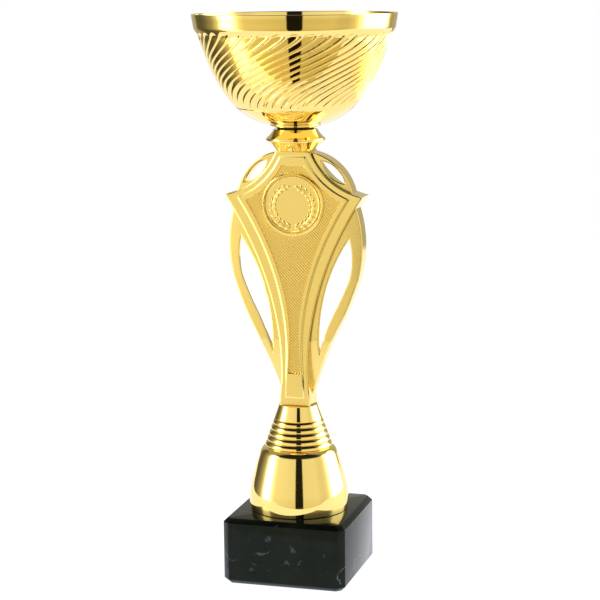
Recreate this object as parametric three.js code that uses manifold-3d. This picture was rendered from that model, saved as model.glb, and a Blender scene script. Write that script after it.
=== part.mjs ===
// Cup trophy: a sheet-metal bowl on a moulded star figure, a ringed cone, a bell-shaped riser and a
// polished marble block, all clamped on one threaded rod. Millimetres, +Z up, standing on z = 0, front
// towards -Y.
import * as THREE from 'three';
import { mergeVertices } from 'three/addons/utils/BufferGeometryUtils.js';
import Module from 'manifold-3d';

const wasm = await Module();
wasm.setup();

// ---------------------------------------------------------------- driving dimensions

// Fits
const seatGap = 0.1; // between pieces stacked face to face
const fitGap = 0.3; // round anything that drops into or passes through another piece

// Marble block
const baseWidth = 56;
const baseHeight = 30;
const baseChamfer = 2;
const baseCornerCut = 2.2;
const counterboreRadius = 11;
const counterboreDepth = 11;

// Clamping hardware: M5 rod, nuts and washers
const rodRadius = 2.5;
const rodEndChamfer = 0.6;
const rodProud = 2.5;
const nutAcrossFlats = 8;
const nutHeight = 4;
const baseWasherRadius = 9;
const baseWasherThickness = 1.2;
const lockWasherRadius = 4.4;
const lockWasherThickness = 1.2;
const lockWasherSplit = 0.9;
const bowlWasherRadius = 10;
const bowlWasherThickness = 1.2;

// Bell riser
const bellHeight = 28.8;
const bellFootRadius = 22.5;
const bellShoulderRadius = 17;
const bellTopRadius = 14.6;
const bellBand = 6;
const bellShoulderDrop = 2.6;
const bellBow = { inwards: 0.3, share: 0.45 }; // bends the bell's sweep, at a share of its height
const mouldedWall = 1.6;
const coreWall = 2;

// Ringed cone
const ringCount = 5;
const ringPitch = 2.5;
const ringFirstRadius = 15.4;
const ringLastRadius = 11.7;
const ringGroove = 0.55;
const ringCrestFrom = 0.3; // shares of the ring pitch between which a ring bulges
const ringCrestTo = 0.8;
const coneRise = 6.2;
const coneFootRadius = 10.8;
const coneTopRadius = 8.7;

// Star figure, heights measured up from its foot or down from its top
const figureHeight = 114.2;
const figureDepth = 12.9;
const loopDepth = 8.5;
const loopSetBack = 2.6;
const plateThickness = 2.4;
const skirtWall = 1.7;
const coreRadius = 4.3;
const ribThickness = 1.2;
const ribCount = 4;
const ribSetBack = 2;
const footHalf = 7.1;
const waistHalf = 6.2;
const waistHeight = 12.5;
const tipHalf = 31.5;
const sweepCentreX = 37.7;
const sweepCentreRise = 12.2;
const panelSweepRadius = 32.5;
const panelBow = { x: 5, share: 0.57 };

// Levels of the figure's face, down from its emblem rim: a raised frame inside a border, and a sunk field
const borderSunk = 0.8;
const frameHalf = 26;
const frameSweepRadius = 34.8;
const frameDrop = 2;
const frameSunk = 0.35;
const frameWaistHalf = 4.2;
const frameWaistHeight = 17;
const frameFootHalf = 4.7;
const frameFootHeight = 3.4;
const frameBow = { x: 1.5, share: 0.6 };
const fieldHalf = 21.2;
const fieldSweepRadius = 38;
const fieldDrop = 6.6;
const fieldSunk = 1.3;
const fieldWaistHalf = 1.7;
const fieldWaistHeight = 26;
const fieldFootHalf = 2.4;
const fieldFootHeight = 15.4;
const fieldBow = { x: 0.1, share: 0.61 };

// Emblem seat
const emblemDrop = 23.5;
const emblemRadius = 12.5;
const emblemThickness = 1;
const emblemTapeThickness = 0.4;
const emblemTapeInset = 1;
const emblemRimWidth = 1.35;
const emblemSunk = 0.3; // the emblem's face behind its rim

// Side loops
const loopArcX = 3.6;
const loopArcRadius = 23.4;
const loopArcEndX = 26.4;
const loopJunctionDrop = 26;
const loopBellyHalf = 30.65;
const loopBellyDrop = 42;
const loopBellyRadius = 58.5;
const loopBellyEndDrop = 57;
const loopMiddle = { half: 23.3, drop: 71.1 };
const loopLower = { half: 16.4, height: 29.2 };
const loopLowest = { half: 10.9, height: 16.2 };
const loopEndHeight = 4.8;
const loopBendHeight = 30;
const loopBendSetBack = 4;

// Slot in each lower loop
const slotBellyHalf = 25.95;
const slotBellyDrop = 47.3;
const slotBellyRadius = 37.5;
const slotTopDrop = 38.4;
const slotBellyEndDrop = 56.5;
const slotUpper = { half: 20.5, drop: 66.5 };
const slotMiddle = { half: 16, height: 38.4 };
const slotLower = { half: 12.3, height: 29.2 };
const slotBottom = { half: 10.8, height: 24 };
const slotBow = { x: 9.8, drop: 60.2 };

// Lens-shaped slot in each upper loop
const lensOuterArc = { x: 11, drop: 16.5, radius: 12.25 };
const lensInnerArc = { x: 25.1, drop: 1.55, radius: 12.8 };
const lensUpperEnd = { x: 12.8, drop: 4.3 };
const lensLowerEnd = { x: 23, drop: 14.2 };

// Knuckle, washer and collar under the bowl
const knuckleHeight = 9.2;
const knuckleRadius = 13.05;
const knuckleFootRadius = 8.3;
const knuckleTopRadius = 9.6;
const knuckleBandHeight = 4.2;
const knuckleBandWidth = 1.1;
const knuckleEdge = 0.3; // rounds the band's two edges
const fibreRadius = 8.1;
const fibreThickness = 0.6;
const collarHeight = 1.5;
const collarRadius = 11.2;
const collarFootRadius = 8.3;
const collarLip = 0.45;

// Bowl
const bowlHeight = 47.8;
const bowlRimRadius = 45;
const bowlWall = 0.8;
const bowlRimBand = 6.5;
const bowlRimTaper = 1.2;
const bowlStepIn = 1.8;
const bowlStepHeight = 3;
const bowlFootRadius = 11.2;
const bowlCurve = [
  { half: 17.9, height: 1.9 },
  { half: 25.6, height: 7.1 },
  { half: 34, height: 18.5 },
  { half: 39.3, height: 30.6 },
];

// ---------------------------------------------------------------- levels along the rod

const bellFoot = baseHeight + seatGap;
const bellTop = bellFoot + bellHeight;
const coneFoot = bellTop + seatGap;
const coneTop = coneFoot + ringCount * ringPitch + coneRise;
const figureFoot = coneTop + seatGap;
const figureTop = figureFoot + figureHeight;
const knuckleFoot = figureTop + seatGap;
const fibreFoot = knuckleFoot + knuckleHeight + seatGap;
const collarFoot = fibreFoot + fibreThickness + seatGap;
const bowlFoot = collarFoot + collarHeight + seatGap;
const bowlWasherFoot = bowlFoot + bowlWall + seatGap;
const bowlNutFoot = bowlWasherFoot + bowlWasherThickness + seatGap;
const rodTop = bowlNutFoot + nutHeight + rodProud;
const baseWasherFoot = counterboreDepth - seatGap - baseWasherThickness;
const lockWasherFoot = baseWasherFoot - seatGap - lockWasherThickness;
const baseNutFoot = lockWasherFoot - seatGap - nutHeight;
const rodFoot = baseNutFoot - rodProud;
const boreRadius = rodRadius + fitGap;

// ---------------------------------------------------------------- shape helpers

const fineTurn = 48;
const smallTurn = 24;
const sharpestCorner = 0.35; // limits how far an inset corner may run along its bisector

const point = (x, z) => new THREE.Vector2(x, z);

function quadratic(from, control, to, steps) {
  return new THREE.QuadraticBezierCurve(from, control, to).getPoints(steps);
}

function spline(points, steps) {
  return new THREE.SplineCurve(points).getPoints(steps);
}

// Arc about a centre, from the direction of one point to the direction of another, the short way round
function arc(centre, radius, from, to, steps) {
  const start = Math.atan2(from.y - centre.y, from.x - centre.x);
  let sweep = Math.atan2(to.y - centre.y, to.x - centre.x) - start;
  sweep = Math.atan2(Math.sin(sweep), Math.cos(sweep));
  const points = [];
  for (let i = 0; i <= steps; i += 1) {
    const angle = start + (sweep * i) / steps;
    points.push(point(centre.x + radius * Math.cos(angle), centre.y + radius * Math.sin(angle)));
  }
  return points;
}

// Drops points that repeat the one before
function withoutRepeats(points) {
  return points.filter((p, i) => p.distanceTo(points[(i + points.length - 1) % points.length]) > 0.01);
}

// Closes a right-hand edge, listed from top to bottom, with its mirror image
function mirrored(edge) {
  const left = edge.map((p) => point(-p.x, p.y)).reverse();
  return withoutRepeats([...edge, ...left]).reverse();
}

// Moves a closed anticlockwise outline inwards by a distance
function inset(outline, distance) {
  return outline.map((p, i) => {
    const before = outline[(i + outline.length - 1) % outline.length];
    const after = outline[(i + 1) % outline.length];
    const into = p.clone().sub(before).normalize();
    const out = after.clone().sub(p).normalize();
    const normal = point(-into.y - out.y, into.x + out.x).normalize();
    const spread = Math.max(sharpestCorner, normal.dot(point(-into.y, into.x)));
    return p.clone().addScaledVector(normal, distance / spread);
  });
}

// Turns a closed geometry into a solid with its faces pointing out
function solid(geometry) {
  const bare = geometry.clone();
  bare.deleteAttribute('normal');
  bare.deleteAttribute('uv');
  const merged = mergeVertices(bare, 1e-4);
  const vertices = merged.attributes.position.array;
  const faces = [];
  for (let i = 0; i < merged.index.count; i += 3) {
    const [a, b, c] = [0, 1, 2].map((k) => merged.index.getX(i + k));
    if (a !== b && b !== c && c !== a) {
      faces.push(a, b, c);
    }
  }
  const at = (k) => new THREE.Vector3().fromArray(vertices, 3 * k);
  let volume = 0;
  for (let i = 0; i < faces.length; i += 3) {
    volume += at(faces[i]).dot(at(faces[i + 1]).cross(at(faces[i + 2])));
  }
  if (volume < 0) {
    faces.reverse();
  }
  const mesh = new wasm.Mesh({
    numProp: 3,
    vertProperties: new Float32Array(vertices),
    triVerts: new Uint32Array(faces),
  });
  return new wasm.Manifold(mesh);
}

// Solid of revolution about Z from a profile of (radius, height) points that closes on itself
function turned(profile, segments) {
  const loop = withoutRepeats(profile);
  const lathe = new THREE.LatheGeometry([...loop, loop[0].clone()], segments);
  lathe.rotateX(Math.PI / 2);
  return solid(lathe);
}

// Flat ring with a bore
function ring(innerRadius, outerRadius, foot, height, segments) {
  const corners = [
    point(innerRadius, foot),
    point(outerRadius, foot),
    point(outerRadius, foot + height),
    point(innerRadius, foot + height),
  ];
  return turned(corners, segments);
}

// Upright cylinder or prism from one height to another
function column(radius, foot, top, segments) {
  const cylinder = new THREE.CylinderGeometry(radius, radius, top - foot, segments);
  cylinder.rotateX(Math.PI / 2);
  cylinder.translate(0, 0, (foot + top) / 2);
  return solid(cylinder);
}

// Upright plate with an outline in X and Z, between two depths in Y
function plate(outline, front, back, holes = []) {
  const shape = new THREE.Shape(outline);
  for (const hole of holes) {
    shape.holes.push(new THREE.Path(hole));
  }
  const slab = new THREE.ExtrudeGeometry(shape, { depth: back - front, bevelEnabled: false });
  slab.rotateX(Math.PI / 2);
  slab.translate(0, back, 0);
  return solid(slab);
}

// Disc that faces the front, between two depths in Y
function frontDisc(radius, centreHeight, front, back, segments) {
  const disc = new THREE.CylinderGeometry(radius, radius, back - front, segments);
  disc.translate(0, (front + back) / 2, 0);
  disc.translate(0, 0, centreHeight);
  return solid(disc);
}

function box(width, depth, height, x, y, z) {
  const block = new THREE.BoxGeometry(width, depth, height);
  block.translate(x, y, z);
  return solid(block);
}

// ---------------------------------------------------------------- materials

const finish = (color, roughness, metalness) => ({ color, roughness, metalness });
const marble = finish(0x10130f, 0.12, 0);
const mirrorGold = finish(0xe8b93c, 0.12, 1);
const satinGold = finish(0xf0cf6e, 0.35, 1);
const zincSteel = finish(0xb9bcc0, 0.35, 1);
const blackFibre = finish(0x15130f, 0.85, 0);
const whiteFoam = finish(0xe9e7e0, 0.9, 0);

const trophy = new THREE.Group();

function addPiece(name, piece, look) {
  const mesh = piece.getMesh();
  const geometry = new THREE.BufferGeometry();
  geometry.setAttribute('position', new THREE.BufferAttribute(new Float32Array(mesh.vertProperties), 3));
  geometry.setIndex(new THREE.BufferAttribute(new Uint32Array(mesh.triVerts), 1));
  geometry.computeVertexNormals();
  const node = new THREE.Mesh(geometry, new THREE.MeshStandardMaterial(look));
  node.name = name;
  trophy.add(node);
}

// ---------------------------------------------------------------- marble block

function marbleBase() {
  const half = baseWidth / 2 - baseChamfer;
  const cut = baseCornerCut;
  const corners = [
    point(half, -half + cut),
    point(half, half - cut),
    point(half - cut, half),
    point(-half + cut, half),
    point(-half, half - cut),
    point(-half, -half + cut),
    point(-half + cut, -half),
    point(half - cut, -half),
  ];
  const block = new THREE.ExtrudeGeometry(new THREE.Shape(corners), {
    depth: baseHeight - 2 * baseChamfer,
    bevelEnabled: true,
    bevelSegments: 1,
    bevelSize: baseChamfer,
    bevelThickness: baseChamfer,
  });
  block.translate(0, 0, baseChamfer);
  return solid(block)
    .subtract(column(boreRadius, -1, baseHeight + 1, smallTurn))
    .subtract(column(counterboreRadius, -1, counterboreDepth, smallTurn));
}

// ---------------------------------------------------------------- rod, nuts and washers

function tieRod() {
  const core = rodRadius - rodEndChamfer;
  const profile = [
    point(0, rodFoot),
    point(core, rodFoot),
    point(rodRadius, rodFoot + rodEndChamfer),
    point(rodRadius, rodTop - rodEndChamfer),
    point(core, rodTop),
    point(0, rodTop),
  ];
  const lathe = new THREE.LatheGeometry(profile, smallTurn);
  lathe.rotateX(Math.PI / 2);
  return solid(lathe);
}

function hexNut(foot) {
  const cornerRadius = nutAcrossFlats / Math.sqrt(3);
  return column(cornerRadius, foot, foot + nutHeight, 6)
    .subtract(column(boreRadius, foot - 1, foot + nutHeight + 1, smallTurn));
}

function flatWasher(radius, foot, thickness) {
  return ring(boreRadius, radius, foot, thickness, smallTurn);
}

function lockWasher() {
  const washer = flatWasher(lockWasherRadius, lockWasherFoot, lockWasherThickness);
  const middle = (boreRadius + lockWasherRadius) / 2;
  const span = 2 * (lockWasherRadius - boreRadius);
  const height = lockWasherFoot + lockWasherThickness / 2;
  return washer.subtract(box(span, lockWasherSplit, 2 * lockWasherThickness, middle, 0, height));
}

// ---------------------------------------------------------------- bell and ringed cone

// Moulded shell with a centre core round the rod, open underneath; both edges run from foot to top
function mouldedShell(outside, inside) {
  const foot = outside[0].y;
  const top = outside[outside.length - 1].y;
  const core = boreRadius + coreWall;
  const profile = [
    point(boreRadius, foot),
    point(boreRadius, top),
    ...[...outside].reverse(),
    ...inside,
    point(core, top - mouldedWall),
    point(core, foot),
  ];
  return turned(profile, fineTurn);
}

function bellRiser() {
  const shoulder = point(bellShoulderRadius, bellTop - bellShoulderDrop);
  const bandTop = point(bellFootRadius, bellFoot + bellBand);
  const bendHeight = THREE.MathUtils.lerp(bandTop.y, shoulder.y, bellBow.share);
  const sweepBend = point(bellFootRadius - bellBow.inwards, bendHeight);
  const outside = [
    point(bellFootRadius, bellFoot),
    ...quadratic(bandTop, sweepBend, shoulder, 8),
    ...quadratic(shoulder, point(bellTopRadius + 1, bellTop), point(bellTopRadius, bellTop), 4),
  ];
  const inside = [
    point(bellFootRadius - mouldedWall, bellFoot),
    point(bandTop.x - mouldedWall, bandTop.y),
    point(shoulder.x - mouldedWall, shoulder.y - mouldedWall),
    point(bellTopRadius - mouldedWall, bellTop - mouldedWall),
  ];
  return mouldedShell(outside, inside);
}

function ringedCone() {
  const outside = [];
  for (let i = 0; i < ringCount; i += 1) {
    const radius = THREE.MathUtils.lerp(ringFirstRadius, ringLastRadius, i / (ringCount - 1));
    const foot = coneFoot + i * ringPitch;
    outside.push(point(radius - ringGroove, foot));
    outside.push(point(radius, foot + ringCrestFrom * ringPitch));
    outside.push(point(radius - ringGroove / 3, foot + ringCrestTo * ringPitch));
  }
  outside.push(point(coneFootRadius, coneTop - coneRise));
  outside.push(point(coneTopRadius, coneTop));
  const inside = [
    point(ringFirstRadius - ringGroove - mouldedWall, coneFoot),
    point(coneFootRadius - mouldedWall, coneTop - coneRise),
    point(coneTopRadius - mouldedWall, coneTop - mouldedWall),
  ];
  return mouldedShell(outside, inside);
}

// ---------------------------------------------------------------- star figure

const fromTop = (drop) => figureTop - drop;
const fromFoot = (height) => figureFoot + height;
const sweepCentre = point(sweepCentreX, figureTop + sweepCentreRise);

// Point on one of the concentric sweeps between the figure's top and its side tips
function onSweep(radius, x) {
  const across = sweepCentre.x - x;
  return point(x, sweepCentre.y - Math.sqrt(radius * radius - across * across));
}

function sweepAtHeight(radius, height) {
  const down = sweepCentre.y - height;
  return point(sweepCentre.x - Math.sqrt(radius * radius - down * down), height);
}

// Flat top, sweep to the side corner, bowed side down to the waist, straight to the foot
function starOutline(radius, top, half, bow, waist, foot) {
  const upper = sweepAtHeight(radius, top);
  const corner = onSweep(radius, half);
  const control = point(bow.x, THREE.MathUtils.lerp(figureFoot, corner.y, bow.share));
  return mirrored([
    ...arc(sweepCentre, radius, upper, corner, 9),
    ...quadratic(corner, control, waist, 9),
    foot,
  ]);
}

const panelOutline = starOutline(
  panelSweepRadius, figureTop, tipHalf, panelBow,
  point(waistHalf, fromFoot(waistHeight)), point(footHalf, figureFoot),
);
const frameOutline = starOutline(
  frameSweepRadius, fromTop(frameDrop), frameHalf, frameBow,
  point(frameWaistHalf, fromFoot(frameWaistHeight)), point(frameFootHalf, fromFoot(frameFootHeight)),
);
const fieldOutline = starOutline(
  fieldSweepRadius, fromTop(fieldDrop), fieldHalf, fieldBow,
  point(fieldWaistHalf, fromFoot(fieldWaistHeight)), point(fieldFootHalf, fromFoot(fieldFootHeight)),
);

function loopOutline() {
  const arcCentre = point(loopArcX, figureTop - loopArcRadius);
  const arcEnd = point(loopArcEndX, arcCentre.y);
  const bellyCentre = point(loopBellyHalf - loopBellyRadius, fromTop(loopBellyDrop));
  const bellyFrom = point(0, fromTop(loopJunctionDrop));
  const bellyTo = point(0, fromTop(loopBellyEndDrop));
  const onBelly = (height) => {
    const rise = height - bellyCentre.y;
    return point(bellyCentre.x + Math.sqrt(loopBellyRadius ** 2 - rise ** 2), height);
  };
  const end = point(footHalf, fromFoot(loopEndHeight));
  const rise = arcEnd.x - arcCentre.x;
  arcEnd.y = arcCentre.y + Math.sqrt(loopArcRadius ** 2 - rise ** 2);
  return mirrored([
    ...arc(arcCentre, loopArcRadius, point(loopArcX, figureTop), arcEnd, 10),
    ...arc(bellyCentre, loopBellyRadius, onBelly(bellyFrom.y), onBelly(bellyTo.y), 7),
    ...spline([
      onBelly(bellyTo.y),
      point(loopMiddle.half, fromTop(loopMiddle.drop)),
      point(loopLower.half, fromFoot(loopLower.height)),
      point(loopLowest.half, fromFoot(loopLowest.height)),
      end,
    ], 12),
  ]);
}

// Long slot between the lower loop and the panel, on the right-hand side
function slotOutline() {
  const bellyCentre = point(slotBellyHalf - slotBellyRadius, fromTop(slotBellyDrop));
  const onBelly = (height) => {
    const rise = height - bellyCentre.y;
    return point(bellyCentre.x + Math.sqrt(slotBellyRadius ** 2 - rise ** 2), height);
  };
  const top = onBelly(fromTop(slotTopDrop));
  const bellyEnd = onBelly(fromTop(slotBellyEndDrop));
  const bottom = point(slotBottom.half, fromFoot(slotBottom.height));
  return withoutRepeats([
    ...arc(bellyCentre, slotBellyRadius, top, bellyEnd, 5),
    ...spline([
      bellyEnd,
      point(slotUpper.half, fromTop(slotUpper.drop)),
      point(slotMiddle.half, fromFoot(slotMiddle.height)),
      point(slotLower.half, fromFoot(slotLower.height)),
      bottom,
    ], 8),
    ...quadratic(bottom, point(slotBow.x, fromTop(slotBow.drop)), top, 9),
  ]);
}

// Lens-shaped slot between the upper loop and the panel, on the right-hand side
function lensOutline() {
  const upper = point(lensUpperEnd.x, fromTop(lensUpperEnd.drop));
  const lower = point(lensLowerEnd.x, fromTop(lensLowerEnd.drop));
  const outerCentre = point(lensOuterArc.x, fromTop(lensOuterArc.drop));
  const innerCentre = point(lensInnerArc.x, fromTop(lensInnerArc.drop));
  return withoutRepeats([
    ...arc(outerCentre, lensOuterArc.radius, upper, lower, 6),
    ...arc(innerCentre, lensInnerArc.radius, lower, upper, 6),
  ]);
}

const figureFront = -figureDepth / 2;
const figureBack = figureDepth / 2;
const loopFront = figureFront + loopSetBack;
const loopBack = loopFront + loopDepth;
const emblemHeight = fromTop(emblemDrop);
const emblemSeatRadius = emblemRadius + fitGap;
const emblemSeatDepth = emblemThickness + emblemTapeThickness + 2 * seatGap;
const emblemSeatFloor = figureFront + emblemSunk + emblemSeatDepth;

// Wedge in front of the loops' lower ends, which lean back towards the foot
function bendWedge(setBack) {
  const depth = 2 * figureDepth;
  const height = 2 * loopBendHeight;
  const wedge = new THREE.BoxGeometry(4 * tipHalf, depth, height);
  wedge.translate(0, -depth / 2, -height / 2);
  wedge.rotateX(Math.atan2(loopBendSetBack, loopBendHeight - loopEndHeight));
  wedge.translate(0, loopFront + setBack, fromFoot(loopBendHeight));
  return solid(wedge);
}

function loops() {
  const outline = loopOutline();
  const slots = [slotOutline(), lensOutline()];
  const holes = [...slots, ...slots.map((slot) => slot.map((p) => point(-p.x, p.y)))];
  const hollow = plate(inset(outline, skirtWall), loopFront + plateThickness, loopBack + 1)
    .subtract(bendWedge(plateThickness));
  return plate(outline, loopFront, loopBack, holes)
    .subtract(bendWedge(0))
    .subtract(hollow);
}

function figureShell() {
  const block = plate(panelOutline, figureFront + borderSunk, figureBack);
  const hollow = plate(inset(panelOutline, skirtWall), figureFront + plateThickness, figureBack + 1);
  const ribFront = figureFront + borderSunk;
  const ribBack = figureBack - ribSetBack;
  const ribs = [];
  for (let i = 1; i <= ribCount; i += 1) {
    const height = fromFoot((figureHeight * i) / (ribCount + 1));
    ribs.push(box(2 * tipHalf, ribBack - ribFront, ribThickness, 0, (ribFront + ribBack) / 2, height));
  }
  const core = column(coreRadius, figureFoot, figureTop, smallTurn);
  const stiffening = ribs.reduce((sum, rib) => sum.add(rib), core);
  const rimRadius = emblemSeatRadius + emblemRimWidth;
  const plateBack = figureFront + plateThickness;
  const frame = plate(frameOutline, figureFront + frameSunk, plateBack);
  const rim = frontDisc(rimRadius, emblemHeight, figureFront, plateBack, fineTurn);
  const seatBack = emblemSeatFloor + 1;
  const seatPad = frontDisc(emblemSeatRadius, emblemHeight, figureFront + fieldSunk, seatBack, fineTurn);
  const seat = frontDisc(emblemSeatRadius, emblemHeight, figureFront - 1, emblemSeatFloor, fineTurn);
  const field = plate(fieldOutline, figureFront - 1, figureFront + fieldSunk);
  const shell = block.subtract(hollow).add(stiffening.intersect(block));
  return loops().subtract(block)
    .add(shell)
    .add(frame)
    .subtract(field)
    .add(rim)
    .add(seatPad)
    .subtract(seat)
    .subtract(column(boreRadius, figureFoot - 1, figureTop + 1, smallTurn));
}

function emblemDisc() {
  const back = emblemSeatFloor - emblemTapeThickness - 2 * seatGap;
  return frontDisc(emblemRadius, emblemHeight, back - emblemThickness, back, fineTurn);
}

function emblemTape() {
  const back = emblemSeatFloor - seatGap;
  const radius = emblemRadius - emblemTapeInset;
  return frontDisc(radius, emblemHeight, back - emblemTapeThickness, back, smallTurn);
}

// ---------------------------------------------------------------- knuckle, collar and bowl

function knuckle() {
  const bandFoot = knuckleFoot + knuckleBandHeight;
  const profile = [
    point(boreRadius, knuckleFoot),
    point(knuckleFootRadius, knuckleFoot),
    point(knuckleRadius - knuckleEdge, bandFoot - knuckleEdge),
    point(knuckleRadius, bandFoot),
    point(knuckleRadius, bandFoot + knuckleBandWidth),
    point(knuckleRadius - knuckleEdge, bandFoot + knuckleBandWidth + knuckleEdge),
    point(knuckleTopRadius, knuckleFoot + knuckleHeight),
    point(boreRadius, knuckleFoot + knuckleHeight),
  ];
  return turned(profile, fineTurn);
}

function bowlCollar() {
  const profile = [
    point(boreRadius, collarFoot),
    point(collarFootRadius, collarFoot),
    point(collarRadius, collarFoot + collarHeight - collarLip),
    point(collarRadius, collarFoot + collarHeight),
    point(boreRadius, collarFoot + collarHeight),
  ];
  return turned(profile, fineTurn);
}

function bowl() {
  const rim = bowlFoot + bowlHeight;
  const bandFoot = point(bowlRimRadius - bowlRimTaper, rim - bowlRimBand);
  const stepFoot = point(bandFoot.x - bowlStepIn, bandFoot.y - bowlStepHeight);
  const outside = [
    point(boreRadius, bowlFoot),
    ...spline([
      point(bowlFootRadius, bowlFoot),
      ...bowlCurve.map((p) => point(p.half, bowlFoot + p.height)),
      stepFoot,
    ], 16),
    bandFoot,
    point(bowlRimRadius, rim),
  ];
  const inside = outside.map((p, i) => {
    const before = outside[Math.max(i - 1, 0)];
    const after = outside[Math.min(i + 1, outside.length - 1)];
    const along = after.clone().sub(before).normalize();
    return point(p.x - along.y * bowlWall, p.y + along.x * bowlWall);
  });
  inside[0] = point(boreRadius, bowlFoot + bowlWall);
  inside[inside.length - 1].y = rim;
  return turned([...outside, ...inside.reverse()], fineTurn);
}

// ---------------------------------------------------------------- assembly, from the bottom up

addPiece('marble_base', marbleBase(), marble);
addPiece('base_washer', flatWasher(baseWasherRadius, baseWasherFoot, baseWasherThickness), zincSteel);
addPiece('base_lock_washer', lockWasher(), zincSteel);
addPiece('base_nut', hexNut(baseNutFoot), zincSteel);
addPiece('tie_rod', tieRod(), zincSteel);
addPiece('bell_riser', bellRiser(), mirrorGold);
addPiece('ringed_cone', ringedCone(), mirrorGold);
addPiece('figure_shell', figureShell(), satinGold);
addPiece('emblem_disc', emblemDisc(), satinGold);
addPiece('emblem_tape', emblemTape(), whiteFoam);
addPiece('knuckle', knuckle(), mirrorGold);
addPiece('fibre_washer', flatWasher(fibreRadius, fibreFoot, fibreThickness), blackFibre);
addPiece('bowl_collar', bowlCollar(), mirrorGold);
addPiece('bowl', bowl(), mirrorGold);
addPiece('bowl_washer', flatWasher(bowlWasherRadius, bowlWasherFoot, bowlWasherThickness), zincSteel);
addPiece('bowl_nut', hexNut(bowlNutFoot), zincSteel);

export default trophy;
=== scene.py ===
# Cup trophy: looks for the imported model. Metres, +Z up, front towards -Y, standing on z = 0.
import math

import bmesh
import bpy
from mathutils import Matrix, Vector


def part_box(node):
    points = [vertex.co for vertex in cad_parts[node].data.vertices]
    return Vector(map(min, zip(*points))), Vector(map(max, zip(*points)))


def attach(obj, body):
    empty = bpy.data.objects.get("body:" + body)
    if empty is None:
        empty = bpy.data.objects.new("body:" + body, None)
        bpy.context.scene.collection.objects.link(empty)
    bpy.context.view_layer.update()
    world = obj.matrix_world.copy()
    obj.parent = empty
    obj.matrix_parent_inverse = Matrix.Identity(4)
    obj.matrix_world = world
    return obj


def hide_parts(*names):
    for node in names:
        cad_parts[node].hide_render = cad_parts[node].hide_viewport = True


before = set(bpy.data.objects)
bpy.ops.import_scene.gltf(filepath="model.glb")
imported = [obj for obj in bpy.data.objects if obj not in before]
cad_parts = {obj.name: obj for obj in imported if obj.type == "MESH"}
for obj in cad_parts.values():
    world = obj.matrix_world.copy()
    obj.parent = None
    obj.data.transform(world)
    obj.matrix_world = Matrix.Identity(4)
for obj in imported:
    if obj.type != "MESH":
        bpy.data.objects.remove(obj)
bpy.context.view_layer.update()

MM = 0.001
FULL_TURN = 2 * math.pi
BORE = 2.8 * MM                   # radius of the hole for the rod, which goes through every piece

# ---------------------------------------------------------------- camera

VIEW_YAW = math.radians(16.3)     # the camera stands this far round to the trophy's right
VIEW_PITCH = 0.1743               # and looks down by this much
VIEW_ROLL = -0.0098
VIEW_LENS = 110.42                # focal length in mm, for a sensor 36 mm wide
VIEW_DISTANCE = 807.8 * MM
VIEW_HEIGHT = 267.25 * MM
VIEW_SIDESTEP = 1.2 * MM
TO_CAMERA = Vector((math.sin(VIEW_YAW), -math.cos(VIEW_YAW), 0))
CAMERA_RIGHT = Vector((math.cos(VIEW_YAW), math.sin(VIEW_YAW), 0))


def add_camera():
    data = bpy.data.cameras.new("trophy_camera")
    data.lens = VIEW_LENS
    camera = bpy.data.objects.new("trophy_camera", data)
    place = TO_CAMERA * VIEW_DISTANCE + CAMERA_RIGHT * VIEW_SIDESTEP + Vector((0, 0, VIEW_HEIGHT))
    turn = (
        Matrix.Rotation(VIEW_YAW, 4, "Z")
        @ Matrix.Rotation(math.pi / 2 - VIEW_PITCH, 4, "X")
        @ Matrix.Rotation(VIEW_ROLL, 4, "Z")
    )
    camera.matrix_world = Matrix.Translation(place) @ turn
    bpy.context.scene.collection.objects.link(camera)
    bpy.context.scene.camera = camera


add_camera()
bpy.context.scene.view_settings.view_transform = "Standard"

# ---------------------------------------------------------------- nodes and colours


def linear(code):
    """Turns an sRGB hex colour into linear RGBA."""
    channels = [int(code[i:i + 2], 16) / 255 for i in (1, 3, 5)]
    return [c / 12.92 if c <= 0.04045 else ((c + 0.055) / 1.055) ** 2.4 for c in channels] + [1]


def add_node(tree, kind, inputs=None, stops=None, **settings):
    """Adds a node with its settings and ramp stops; an input given as a socket is linked to it."""
    node = tree.nodes.new(kind)
    for name, value in settings.items():
        setattr(node, name, value)
    for i, (position, color) in enumerate(stops or []):
        points = node.color_ramp.elements
        point = points[i] if i < 2 else points.new(position)
        point.position = position
        point.color = color
    for name, value in (inputs or {}).items():
        if isinstance(value, bpy.types.NodeSocket):
            tree.links.new(value, node.inputs[name])
        else:
            node.inputs[name].default_value = value
    return node


def new_material(name):
    material = bpy.data.materials.new(name)
    material.use_nodes = True
    material.node_tree.nodes.clear()
    return material, material.node_tree


def noise(tree, place, grain_mm, detail):
    return add_node(tree, "ShaderNodeTexNoise", {
        "Vector": place, "Scale": 1 / (grain_mm * MM), "Detail": detail,
    })


def surface(tree, inputs):
    """Ends a material with its shader and output."""
    shader = add_node(tree, "ShaderNodeBsdfPrincipled", inputs)
    add_node(tree, "ShaderNodeOutputMaterial", {0: shader.outputs[0]})


# ---------------------------------------------------------------- studio

TABLE_COLOR = (1.0, 1.02, 1.1, 1)    # a slightly cool white, so that gold reflects it as cream
TABLE_FRONT = 174 * MM               # the table ends here, towards the camera
TABLE_BACK = 900 * MM
TABLE_LEFT = 290 * MM
TABLE_RIGHT = 520 * MM
BRIGHTEST = 7                        # radiance the shades below are shares of
SOFTBOX = 5

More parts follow.
